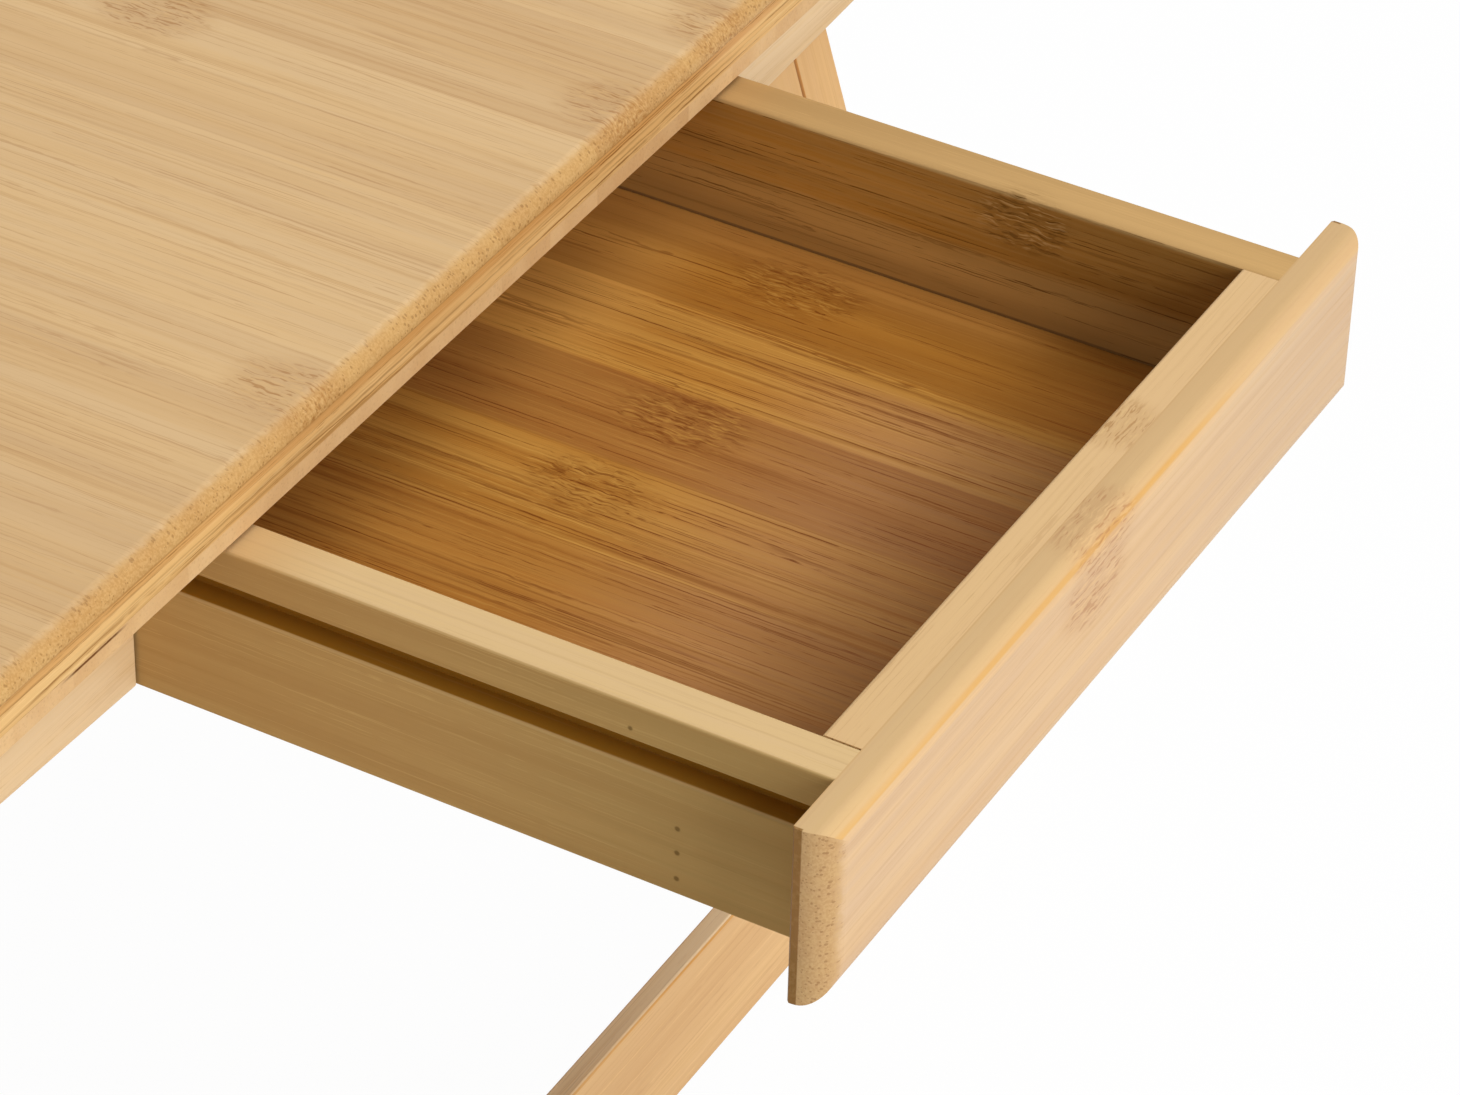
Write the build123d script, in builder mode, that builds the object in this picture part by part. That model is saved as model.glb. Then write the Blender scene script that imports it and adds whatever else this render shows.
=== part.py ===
from build123d import *
import math
import os

# Folding bamboo laptop table with a side drawer, in millimetres.
# +X is the way the drawer opens, -Y is the user's side, +Z is up and the feet stand on Z = 0.

# Tabletop, three plies glued together
table_length = 620.0
table_depth = 440.0
top_ply_thickness = 4.0
core_ply_thickness = 6.5
bottom_ply_thickness = 4.5
table_corner_radius = 12.0
table_roundover = 3.8
table_lower_ease = 0.6
underside_height = 240.0

# Frame under the tabletop
end_overhang = 22.0
side_overhang = 16.0
apron_thickness = 13.5
apron_height = 41.0
apron_rise = 4.5
rail_thickness = 12.0
board_ease = 1.0

# Drawer box
drawer_width = 190.0
drawer_height = 40.0
drawer_length = 220.0
drawer_side_thickness = 10.0
inner_front_thickness = 8.0
back_thickness = 8.0
drawer_depth_inside = 30.0
floor_thickness = 4.0
floor_groove_depth = 4.0
floor_clearance = 0.1
drawer_edge_ease = 0.8
drawer_pull = 148.0
drawer_headroom = 1.0
drawer_side_gap = 0.7

# Front panel of the drawer
panel_width = 220.0
panel_thickness = 8.0
panel_end_round = 6.0
panel_top_round = 4.0
panel_bottom_round = 7.5
panel_back_ease = 0.5

# Runner strips in the grooves of the drawer's sides
groove_drop = 7.8
groove_height = 6.0
groove_depth = 5.0
groove_lip_ease = 0.8
runner_play = 0.3
runner_height = 5.2
runner_tip_gap = 0.8
guide_thickness = 12.0
guide_height = 30.0
guide_tie_thickness = 9.0
guide_tie_height = 20.0
guide_tie_gap = 1.0

# Folding leg frames, two bars side by side in each leg
leg_splay = 17.0
leg_depth = 24.0
leg_bar_width = 15.0
leg_ease = 0.6
leg_stop_gap = 0.15
pivot_drop = 19.5

# Lower crossbar of each leg frame, tenoned into the inner bars
crossbar_width = 24.5
crossbar_thickness = 6.5
crossbar_lift = 12.5
crossbar_ease = 0.9
tenon_length = 10.0
tenon_shoulder = 4.0
tenon_cheek = 1.25
tenon_clearance = 0.1

# Pivot bolts, washers and nuts
bolt_radius = 3.0
bolt_head_radius = 7.0
bolt_head_height = 2.5
bolt_head_ease = 0.8
bolt_tail = 0.5
pivot_clearance = 0.06
washer_radius = 7.0
washer_thickness = 1.0
nut_radius = 5.8
nut_thickness = 5.0
nut_gap = 0.5

# Countersunk wood screws of the drawer's front panel
screw_radius = 1.9
screw_head_radius = 3.8
screw_clearance = 0.05
screw_length = 13.0
screw_spacing = 100.0

# Heights
apron_bottom = underside_height - apron_height
rail_bottom = apron_bottom + apron_rise
drawer_top = underside_height - drawer_headroom
drawer_bottom = drawer_top - drawer_height
drawer_floor_top = drawer_top - drawer_depth_inside
groove_top = drawer_top - groove_drop
pivot_height = underside_height - pivot_drop

# Distances from the middle of the tabletop
apron_face = table_length / 2 - end_overhang
apron_inner = apron_face - apron_thickness
rail_outer = table_depth / 2 - side_overhang
rail_inner = rail_outer - rail_thickness
leg_outer = rail_inner - washer_thickness
leg_middle = leg_outer - leg_bar_width
leg_inner = leg_middle - leg_bar_width
guide_inner = drawer_width / 2 + drawer_side_gap
guide_outer = guide_inner + guide_thickness
guide_back = apron_face - drawer_length - guide_tie_gap
groove_bottom = drawer_width / 2 - groove_depth

# An apron's lower edge climbs evenly from the drawer's opening to the corners
apron_slope = apron_rise / (rail_outer - guide_inner)
stop_height = apron_bottom + apron_slope * (leg_inner - guide_inner)

# The splayed leg leans on the lower inside edge of the apron
splay_cos = math.cos(math.radians(leg_splay))
splay_sin = math.sin(math.radians(leg_splay))
leg_half = leg_depth / 2
leg_lean = (leg_half + (pivot_height - stop_height) * splay_sin) / splay_cos
pivot_reach = apron_inner - leg_stop_gap - leg_lean
foot_reach = pivot_reach + (leg_half + pivot_height * splay_sin) / splay_cos
outer_face_length = (pivot_height + leg_half * splay_sin) / splay_cos
inner_face_length = (pivot_height - leg_half * splay_sin) / splay_cos
crossbar_low = outer_face_length - crossbar_lift / splay_cos
crossbar_high = crossbar_low - crossbar_width

# The origin lies on the floor, midway between the left feet and the open drawer's front
panel_reach = apron_face + drawer_pull + panel_thickness
right_reach = max(panel_reach, foot_reach, table_length / 2)
left_reach = max(foot_reach, table_length / 2)
table_x = (left_reach - right_reach) / 2

# Places of the drawer, open as it stands
panel_back = table_x + apron_face + drawer_pull
panel_front = panel_back + panel_thickness
drawer_back = panel_back - drawer_length
inner_front_face = panel_back - inner_front_thickness
inside_width = drawer_width - 2 * drawer_side_thickness

os.makedirs("parts", exist_ok=True)


def save(builder, name):
    """Label one finished piece and write it."""
    builder.part.label = name
    export_step(builder.part, f"parts/{name}.step")


def rectangle_between(low, high):
    """Rectangle in the sketch plane from one corner to the opposite one."""
    with Locations(((low[0] + high[0]) / 2, (low[1] + high[1]) / 2)):
        Rectangle(high[0] - low[0], high[1] - low[1])


def board(low, high, ease, along):
    """Square-cut board between two corners, its long edges eased."""
    with BuildPart() as timber:
        with BuildSketch(Plane.XY.offset(low[2])):
            rectangle_between(low, high)
        extrude(amount=high[2] - low[2])
        chamfer(timber.edges().filter_by(along), ease)
    return timber


def across(y):
    """Sketch plane seen from the user's side: its x is X, its y is Z, and it extrudes to -Y."""
    return Plane.XZ.offset(-y)


def leg_point(side, outward, down):
    """X and Z of a point measured from a leg frame's pivot along its own splayed directions."""
    x = table_x + side * (pivot_reach + outward * splay_cos + down * splay_sin)
    z = pivot_height + outward * splay_sin - down * splay_cos
    return (x, z)


# Tabletop plies
core_low = underside_height + bottom_ply_thickness
top_low = core_low + core_ply_thickness


def ply_outline(height):
    """The tabletop's plan outline at one height."""
    with BuildSketch(Plane.XY.offset(height)) as outline:
        with Locations((table_x, 0)):
            RectangleRounded(table_length, table_depth, table_corner_radius)
    return outline.sketch


with BuildPart() as tabletop_bottom_ply:
    extrude(ply_outline(underside_height), amount=bottom_ply_thickness)
    chamfer(tabletop_bottom_ply.faces().sort_by(Axis.Z)[0].edges(), table_lower_ease)
save(tabletop_bottom_ply, "tabletop_bottom_ply")

with BuildPart() as tabletop_core_ply:
    extrude(ply_outline(core_low), amount=core_ply_thickness)
save(tabletop_core_ply, "tabletop_core_ply")

with BuildPart() as tabletop_top_ply:
    extrude(ply_outline(top_low), amount=top_ply_thickness)
    fillet(tabletop_top_ply.faces().sort_by(Axis.Z)[-1].edges(), table_roundover)
save(tabletop_top_ply, "tabletop_top_ply")

# Aprons across the two ends, the right one parted by the drawer's opening
def apron(back_x, outward, profile):
    """Apron board with this Y and Z profile, its outer lower edges eased."""
    with BuildPart() as timber:
        with BuildSketch(Plane.YZ.offset(back_x)):
            Polygon(*profile, align=None)
        extrude(amount=apron_thickness)
        face = timber.faces().sort_by(Axis.X)[-1 if outward > 0 else 0]
        fillet(face.edges().filter_by(lambda edge: edge.center().Z < rail_bottom), board_ease)
    return timber


def half_profile(y_side):
    """Apron profile from the drawer's opening out to one corner."""
    return [
        (y_side * guide_inner, underside_height),
        (y_side * guide_inner, apron_bottom),
        (y_side * rail_outer, rail_bottom),
        (y_side * rail_outer, underside_height),
    ]


for y_side, y_name in ((-1, "near"), (1, "far")):
    right_apron = apron(table_x + apron_inner, 1, half_profile(y_side))
    save(right_apron, f"apron_right_{y_name}")

full_profile = half_profile(-1)[1:] + half_profile(1)[:0:-1]
apron_left = apron(table_x - apron_face, -1, full_profile)
save(apron_left, "apron_left")

# Long rails between the aprons, drilled for the pivot bolts
for rail_side, rail_name in ((-1, "rail_near"), (1, "rail_far")):
    rail_y = sorted((rail_side * rail_inner, rail_side * rail_outer))
    with BuildPart() as rail:
        with BuildSketch(across(rail_y[1])):
            rectangle_between(
                (table_x - apron_inner, rail_bottom),
                (table_x + apron_inner, underside_height),
            )
            with Locations(leg_point(-1, 0, 0), leg_point(1, 0, 0)):
                Circle(bolt_radius + pivot_clearance, mode=Mode.SUBTRACT)
        extrude(amount=rail_thickness)
        chamfer(rail.edges().filter_by(Axis.X).group_by(Axis.Z)[0], board_ease)
    save(rail, rail_name)

# Guide boards either side of the drawer, with the runner strips that carry it
runner_top = groove_top - runner_play
for guide_side, guide_name in ((-1, "near"), (1, "far")):
    guide_y = sorted((guide_side * guide_inner, guide_side * guide_outer))
    guide = board(
        (table_x + guide_back, guide_y[0], underside_height - guide_height),
        (table_x + apron_inner, guide_y[1], underside_height),
        board_ease,
        Axis.X,
    )
    save(guide, f"drawer_guide_{guide_name}")
    runner_y = sorted((guide_side * (groove_bottom + runner_tip_gap), guide_side * guide_inner))
    runner = board(
        (table_x + guide_back, runner_y[0], runner_top - runner_height),
        (table_x + apron_inner, runner_y[1], runner_top),
        board_ease,
        Axis.Z,
    )
    save(runner, f"runner_{guide_name}")

# Tie behind the closed drawer that joins the two guides, above the folded crossbar
guide_tie = board(
    (table_x + guide_back - guide_tie_thickness, -guide_outer, underside_height - guide_tie_height),
    (table_x + guide_back, guide_outer, underside_height),
    board_ease,
    Axis.Y,
)
save(guide_tie, "guide_tie")

# Pivot bolts through the rails, with the washers and nuts that keep the legs on them
def each_pivot():
    """Frame side and near or far side of the four pivots."""
    return [(side, y_side) for side in (-1, 1) for y_side in (-1, 1)]


def round_between(side, y_side, y_inner, y_outer, radius, mode=Mode.ADD):
    """Round bar on one pivot's axis between two distances from the middle."""
    with BuildSketch(across(max(y_side * y_inner, y_side * y_outer))) as section:
        with Locations(leg_point(side, 0, 0)):
            Circle(radius)
    extrude(section.sketch, amount=y_outer - y_inner, mode=mode)


nut_outer = leg_inner - nut_gap
nut_inner = nut_outer - nut_thickness
bolt_end = nut_inner - bolt_tail

with BuildPart() as pivot_bolts:
    for side, y_side in each_pivot():
        round_between(side, y_side, bolt_end, rail_outer, bolt_radius)
        round_between(side, y_side, rail_outer, rail_outer + bolt_head_height, bolt_head_radius)
    for y_end in (0, -1):
        head_face = pivot_bolts.faces().group_by(Axis.Y)[y_end]
        chamfer(head_face.edges(), bolt_head_ease)
save(pivot_bolts, "pivot_bolts")

with BuildPart() as pivot_washers:
    for side, y_side in each_pivot():
        round_between(side, y_side, leg_outer, rail_inner, washer_radius)
        hole = bolt_radius + pivot_clearance
        round_between(side, y_side, leg_outer, rail_inner, hole, Mode.SUBTRACT)
save(pivot_washers, "pivot_washers")

with BuildPart() as pivot_nuts:
    for side, y_side in each_pivot():
        with BuildSketch(across(max(y_side * nut_inner, y_side * nut_outer))):
            with Locations(leg_point(side, 0, 0)):
                RegularPolygon(nut_radius, 6)
                Circle(bolt_radius + pivot_clearance, mode=Mode.SUBTRACT)
        extrude(amount=nut_thickness)
save(pivot_nuts, "pivot_nuts")

# Folding leg frames
crossbar_back = leg_half - crossbar_thickness


def leg_rectangle(side, outward, down):
    """Rectangle lined up with the splayed leg, between two depths and two distances down it."""
    Polygon(
        leg_point(side, outward[0], down[0]),
        leg_point(side, outward[1], down[0]),
        leg_point(side, outward[1], down[1]),
        leg_point(side, outward[0], down[1]),
        align=None,
    )


def tenon_outline(side, clearance):
    """Section of the crossbar's tenon, or of its mortise when given a clearance."""
    cheek = tenon_cheek - clearance
    shoulder = tenon_shoulder - clearance
    leg_rectangle(
        side,
        (crossbar_back + cheek, leg_half - cheek),
        (crossbar_high + shoulder, crossbar_low - shoulder),
    )


def leg_bar(side, y_side, y_inner, y_outer):
    """One bar of a leg: rounded round the pivot, drilled for its bolt and cut flat on the floor."""
    with BuildPart() as bar:
        with BuildSketch(across(max(y_side * y_inner, y_side * y_outer))):
            with BuildLine():
                front_top = leg_point(side, leg_half, 0)
                back_top = leg_point(side, -leg_half, 0)
                front_foot = leg_point(side, leg_half, outer_face_length)
                back_foot = leg_point(side, -leg_half, inner_face_length)
                Polyline(front_top, front_foot, back_foot, back_top)
                ThreePointArc(back_top, leg_point(side, 0, -leg_half), front_top)
            make_face()
        extrude(amount=y_outer - y_inner)
        chamfer(bar.faces().filter_by(Axis.Y).edges(), leg_ease)
        with BuildSketch(across(max(y_side * y_inner, y_side * y_outer))):
            with Locations(leg_point(side, 0, 0)):
                Circle(bolt_radius + pivot_clearance)
        extrude(amount=y_outer - y_inner, mode=Mode.SUBTRACT)
    return bar


for side, side_name in ((-1, "left"), (1, "right")):
    for y_side, y_name in ((-1, "near"), (1, "far")):
        outer_bar = leg_bar(side, y_side, leg_middle, leg_outer)
        save(outer_bar, f"leg_{side_name}_{y_name}_outer")

        with BuildPart() as inner_bar:
            add(leg_bar(side, y_side, leg_inner, leg_middle).part)
            mortise_depth = tenon_length + tenon_clearance
            with BuildSketch(across(max(y_side * leg_inner, y_side * (leg_inner + mortise_depth)))):
                tenon_outline(side, tenon_clearance)
            extrude(amount=mortise_depth, mode=Mode.SUBTRACT)
        save(inner_bar, f"leg_{side_name}_{y_name}_inner")

    with BuildPart() as crossbar:
        with BuildSketch(across(leg_inner)):
            leg_rectangle(side, (crossbar_back, leg_half), (crossbar_high, crossbar_low))
        extrude(amount=2 * leg_inner)
        fillet(crossbar.edges().filter_by(Axis.Y), crossbar_ease)
        with BuildSketch(across(leg_inner + tenon_length)):
            tenon_outline(side, 0)
        extrude(amount=2 * (leg_inner + tenon_length))
    save(crossbar, f"crossbar_{side_name}")

# Drawer box, open as it stands
floor_low = drawer_floor_top - floor_thickness
floor_groove_high = drawer_floor_top + floor_clearance
front_screw_planes = [
    Plane(
        origin=(inner_front_face, y_side * screw_spacing / 2, (drawer_top + drawer_bottom) / 2),
        z_dir=(-1, 0, 0),
    )
    for y_side in (-1, 1)
]

for y_side, y_name in ((-1, "near"), (1, "far")):
    side_outer = y_side * drawer_width / 2
    side_inner = y_side * inside_width / 2
    with BuildPart() as drawer_side:
        with BuildSketch(Plane.YZ.offset(drawer_back)) as side_profile:
            rectangle_between(
                (min(side_outer, side_inner), drawer_bottom),
                (max(side_outer, side_inner), drawer_top),
            )
            fillet(side_profile.vertices(), drawer_edge_ease)
            with Locations((side_outer, groove_top - groove_height / 2)):
                Rectangle(2 * groove_depth, groove_height, mode=Mode.SUBTRACT)
            with Locations((side_inner, (floor_low + floor_groove_high) / 2)):
                Rectangle(
                    2 * floor_groove_depth,
                    floor_groove_high - floor_low,
                    mode=Mode.SUBTRACT,
                )
            lower_lip = (side_outer, groove_top - groove_height)
            fillet(side_profile.vertices().sort_by_distance(lower_lip)[0], groove_lip_ease)
        extrude(amount=drawer_length)
    save(drawer_side, f"drawer_side_{y_name}")


def drive_screws(planes):
    """Screws with flush countersunk heads."""
    with Locations(*planes):
        end_up = (Align.CENTER, Align.CENTER, Align.MAX)
        Cylinder(screw_radius, screw_length, align=end_up)
        Cone(screw_radius, screw_head_radius, screw_head_radius - screw_radius, align=end_up)


def drill_screws(planes):
    """Matching countersunk holes, a hair wider than the screws."""
    with Locations(*planes):
        CounterSinkHole(
            screw_radius + screw_clearance,
            screw_head_radius + screw_clearance,
            screw_length,
            90,
        )


def cross_board(back_x, front_x, groove_side):
    """Board between the drawer's sides, grooved on one face for the floor panel."""
    with BuildSketch(across(inside_width / 2)) as profile:
        rectangle_between((back_x, drawer_bottom), (front_x, drawer_top))
        groove_face = front_x if groove_side > 0 else back_x
        inside_top = (groove_face, drawer_top)
        fillet(profile.vertices().sort_by_distance(inside_top)[0], drawer_edge_ease)
        with Locations((groove_face, (floor_low + floor_groove_high) / 2)):
            Rectangle(
                2 * floor_groove_depth,
                floor_groove_high - floor_low,
                mode=Mode.SUBTRACT,
            )
    extrude(profile.sketch, amount=inside_width)


with BuildPart() as drawer_back_board:
    cross_board(drawer_back, drawer_back + back_thickness, 1)
save(drawer_back_board, "drawer_back_board")

with BuildPart() as drawer_inner_front:
    cross_board(inner_front_face, panel_back, -1)
    drill_screws(front_screw_planes)
save(drawer_inner_front, "drawer_inner_front")

with BuildPart() as drawer_floor:
    edge_in_groove = floor_groove_depth - floor_clearance
    with BuildSketch(Plane.XY.offset(floor_low)):
        rectangle_between(
            (drawer_back + back_thickness - edge_in_groove, -inside_width / 2 - edge_in_groove),
            (inner_front_face + edge_in_groove, inside_width / 2 + edge_in_groove),
        )
    extrude(amount=floor_thickness)
save(drawer_floor, "drawer_floor")

# Front panel, wider than the box, rounded over at the front by a different radius on each edge
with BuildPart() as drawer_front:
    with BuildSketch(across(panel_width / 2)) as panel_section:
        rectangle_between((panel_back, drawer_bottom), (panel_front, drawer_top))
        for corner_z, corner_round in (
            (drawer_top, panel_top_round),
            (drawer_bottom, panel_bottom_round),
        ):
            corner = panel_section.vertices().sort_by_distance((panel_front, corner_z))[0]
            fillet(corner, corner_round)
    extrude(amount=panel_width)
    with BuildSketch(Plane.XY.offset(drawer_bottom)) as panel_plan:
        rectangle_between((panel_back, -panel_width / 2), (panel_front, panel_width / 2))
        fillet(panel_plan.vertices().group_by(Axis.X)[-1], panel_end_round)
    extrude(amount=drawer_height, mode=Mode.INTERSECT)
    end_edges = drawer_front.faces().sort_by(Axis.X)[0].edges().filter_by(Axis.Z)
    chamfer(end_edges, panel_back_ease)
    drill_screws(front_screw_planes)
save(drawer_front, "drawer_front")

with BuildPart() as front_screws:
    drive_screws(front_screw_planes)
save(front_screws, "front_screws")
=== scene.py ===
import math
import bpy
from mathutils import Matrix, Vector


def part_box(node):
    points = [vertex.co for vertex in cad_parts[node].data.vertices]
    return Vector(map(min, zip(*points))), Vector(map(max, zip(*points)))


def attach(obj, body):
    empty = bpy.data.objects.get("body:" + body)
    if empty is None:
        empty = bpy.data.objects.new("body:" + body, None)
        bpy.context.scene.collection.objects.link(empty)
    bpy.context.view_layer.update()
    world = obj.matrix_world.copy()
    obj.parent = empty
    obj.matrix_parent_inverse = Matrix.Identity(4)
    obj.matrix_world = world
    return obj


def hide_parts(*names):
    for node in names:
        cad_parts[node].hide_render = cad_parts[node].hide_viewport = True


# Folding bamboo laptop table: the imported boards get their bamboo, and the fasteners get their heads.
# Patterns are measured in millimetres, on Object coordinates turned so that the grain runs along x.

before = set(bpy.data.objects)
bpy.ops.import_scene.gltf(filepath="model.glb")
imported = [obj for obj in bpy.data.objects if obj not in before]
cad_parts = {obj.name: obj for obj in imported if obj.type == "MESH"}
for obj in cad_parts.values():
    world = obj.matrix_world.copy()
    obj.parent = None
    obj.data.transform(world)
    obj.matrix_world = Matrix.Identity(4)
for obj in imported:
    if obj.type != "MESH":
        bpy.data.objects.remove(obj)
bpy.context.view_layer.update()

MM = 0.001
LEG_SPLAY = 17.0
GRAIN_ALONG_X = (0, 0, 0)
GRAIN_ALONG_Y = (0, 0, math.radians(-90))
GRAIN_DOWN_RIGHT_LEG = (0, math.radians(LEG_SPLAY - 90), 0)
GRAIN_DOWN_LEFT_LEG = (0, math.radians(-LEG_SPLAY - 90), 0)

# Radius in mm of the fasteners' heads; their axes lie that far inside the boxes of the CAD pieces
BOLT_HEAD_RADIUS = 7.0
SCREW_HEAD_RADIUS = 3.8

# Node kinds and settings that are used throughout
MATH = "ShaderNodeMath"
VECTOR_MATH = "ShaderNodeVectorMath"
MAPPING = "ShaderNodeMapping"
NOISE = "ShaderNodeTexNoise"
MAP_RANGE = "ShaderNodeMapRange"
MIX = "ShaderNodeMix"
SMOOTH = {"interpolation_type": "SMOOTHSTEP"}
COLOURS = {"data_type": "RGBA"}


def linear(code):
    """Linear colour of an sRGB hex value."""
    channels = [int(code[i:i + 2], 16) / 255 for i in (1, 3, 5)]
    return [c / 12.92 if c <= 0.04045 else ((c + 0.055) / 1.055) ** 2.4 for c in channels] + [1]


def add(tree, kind, inputs=None, **settings):
    """A node with its settings, and its inputs set to a value or linked to another node or socket."""
    node = tree.nodes.new(kind)
    for name, value in settings.items():
        setattr(node, name, value)
    for name, value in (inputs or {}).items():
        if isinstance(value, bpy.types.Node):
            value = next(output for output in value.outputs if output.enabled)
        if isinstance(value, bpy.types.NodeSocket):
            tree.links.new(value, node.inputs[name])
        else:
            node.inputs[name].default_value = value
    return node


def new_material(name):
    """Material with an empty node tree."""
    material = bpy.data.materials.new(name)
    material.use_nodes = True
    material.node_tree.nodes.clear()
    return material, material.node_tree


def knuckle_mask(tree, board, knuckles, size):
    """Where the cane's nodes bend the fibres; a knuckle is a place, and size its half length and width in mm."""
    mask = 0.0
    for place in knuckles:
        offset = {"Vector": board, "Location": place, "Scale": (*size, size[1])}
        offset = add(tree, MAPPING, offset, vector_type="TEXTURE")
        away = add(tree, VECTOR_MATH, {0: offset}, operation="LENGTH").outputs["Value"]
        near = add(tree, MAP_RANGE, {"Value": away, "From Min": 1.1, "From Max": 0.5}, **SMOOTH)
        mask = add(tree, MATH, {0: mask, 1: near}, operation="MAXIMUM")
    return mask


def add_stains_and_painted_light(tree, colour, level, stains_and_painted_light, line, tint_lines, uneven):
    """Colour with its stains and its painted light and shade; each has limits of (level, where it is none, where it is
    full), a tint and an amount.
    """
    for limits, tint, amount in stains_and_painted_light:
        reach = add(tree, MATH, {0: uneven, 1: amount}, operation="MULTIPLY")
        for name, none, full in limits:
            within = add(tree, MAP_RANGE, {"Value": level[name], "From Min": none, "From Max": full}, **SMOOTH)
            reach = add(tree, MATH, {0: reach, 1: within}, operation="MULTIPLY")
        lined = add(tree, MIX, {0: 0.85, 6: linear(tint), 7: line}, **COLOURS)
        lined = add(tree, MIX, {0: tint_lines, 6: linear(tint), 7: lined}, **COLOURS)
        colour = add(tree, MIX, {0: reach, 6: colour, 7: lined}, **COLOURS)
    return colour


def bamboo(
    name, grain, face, flank, arris, end, line, glow,
    strip=20.0, seed=0.0, bands=0.5, lines=0.35, face_lines=1.0, gleam=0.3, shine=0.35, threads=0.8,
    pore_width=0.85, pore_depth=0.75, grit=0.5, knuckles=(), knuckle_size=(10.0, 9.0), stains_and_painted_light=(), spots=(),
):
    """Laminated bamboo, sanded and lacquered satin: toned strips, long fibre streaks and pores in the ends.

    face, flank, arris and end are the ground colours by the way a surface lies: upper and lower faces,
    sides, rounded edges and cut ends. Some are painted light and shade: the near drawer side's dark flank and the
    crossbars' pale tops. line and glow are the darker and lighter fibres. strip is a strip's width in mm, and a spot
    is x, y, z and radius in mm.
    """
    face, flank, arris, end, line, glow = map(linear, (face, flank, arris, end, line, glow))
    material, tree = new_material(name)
    point = add(tree, "ShaderNodeTexCoord").outputs
    board = add(tree, MAPPING, {"Vector": point["Object"], "Rotation": grain, "Scale": (1 / MM,) * 3})
    facing = add(tree, MAPPING, {"Vector": point["Normal"], "Rotation": grain}, vector_type="NORMAL")
    facing = add(tree, VECTOR_MATH, {0: facing}, operation="ABSOLUTE")
    facing = add(tree, "ShaderNodeSeparateXYZ", {0: facing}).outputs

    # Fibres ripple about every 4.5 mm, most strongly at the knuckles
    knuckle = knuckle_mask(tree, board, knuckles, knuckle_size)
    ripple = add(tree, NOISE, {"Vector": board, "Scale": 1 / 4.5, "Detail": 1.0}).outputs["Color"]
    ripple = add(tree, VECTOR_MATH, {0: ripple, 1: (0.5, 0.5, 0.5)}, operation="SUBTRACT")
    bend = add(tree, MATH, {0: knuckle, 1: 1.3, 2: 0.3}, operation="MULTIPLY_ADD")
    ripple = add(tree, VECTOR_MATH, {0: ripple, "Scale": bend}, operation="SCALE")
    fibres = add(tree, VECTOR_MATH, {0: board, 1: ripple}, operation="ADD")

    # Each strip has its own tone, and its streaks start somewhere else
    across = add(tree, "ShaderNodeSeparateXYZ", {0: fibres}).outputs["Y"]
    across = add(tree, MATH, {0: across, 1: 1 / strip, 2: seed}, operation="MULTIPLY_ADD")
    strip_number = add(tree, MATH, {0: across}, operation="FLOOR")
    tone = add(tree, "ShaderNodeTexWhiteNoise", {"W": strip_number}, noise_dimensions="1D").outputs["Value"]
    start = add(tree, MATH, {0: tone, 1: 900.0}, operation="MULTIPLY")
    start = add(tree, "ShaderNodeCombineXYZ", {"X": start})
    fibres = add(tree, VECTOR_MATH, {0: fibres, 1: start}, operation="ADD")
    seam = add(tree, MATH, {0: across, 1: 0.5}, operation="PINGPONG")
    seam = {"Value": seam, "From Min": 0.4 / strip, "From Max": 0.1 / strip, "To Max": 0.12}
    seam = add(tree, MAP_RANGE, seam, **SMOOTH)

    def drawn_out(length, width, detail):
        """Noise stretched along the grain, by the length and width of its streaks in mm."""
        stretched = add(tree, MAPPING, {"Vector": fibres, "Scale": (1 / length, 1 / width, 1 / width)})
        stretched = {"Vector": stretched, "Scale": 1.0, "Detail": detail, "Roughness": 0.6}
        return add(tree, NOISE, stretched).outputs["Fac"]

    band = drawn_out(260, 9, 1.0)
    sheen = drawn_out(190, 5, 1.0)
    streak = drawn_out(120, 1.5, 3.0)
    hair = drawn_out(55, 0.42, 2.0)
    stroke = drawn_out(5.5, 0.62, 1.5)

    # Single dark threads follow a contour of a noise, here and there along the board
    contour = add(tree, MATH, {0: drawn_out(170, 2.4, 1.0), 1: 0.5}, operation="SUBTRACT")
    contour = add(tree, MATH, {0: contour}, operation="ABSOLUTE")
    patch = add(tree, MAP_RANGE, {"Value": drawn_out(70, 4, 1.0), "From Min": 0.46, "From Max": 0.62}, **SMOOTH)
    thread = {"Value": contour, "From Min": 0.024, "From Max": 0.004, "To Max": threads}
    thread = add(tree, MAP_RANGE, thread, **SMOOTH)
    thread = add(tree, MATH, {0: thread, 1: patch}, operation="MULTIPLY")

    # Colour by the way a surface lies, which in some boards holds painted shade on a flank and painted light on a face
    flank_mask = add(tree, MAP_RANGE, {"Value": facing["Y"], "From Min": 0.5, "From Max": 0.85}, **SMOOTH)
    widest = add(tree, MATH, {0: facing["X"], 1: facing["Y"]}, operation="MAXIMUM")
    widest = add(tree, MATH, {0: widest, 1: facing["Z"]}, operation="MAXIMUM")
    arris_mask = add(tree, MAP_RANGE, {"Value": widest, "From Min": 0.95, "From Max": 0.80}, **SMOOTH)
    colour = add(tree, MIX, {0: flank_mask, 6: face, 7: flank}, **COLOURS)
    colour = add(tree, MIX, {0: arris_mask, 6: colour, 7: arris}, **COLOURS)

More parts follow.
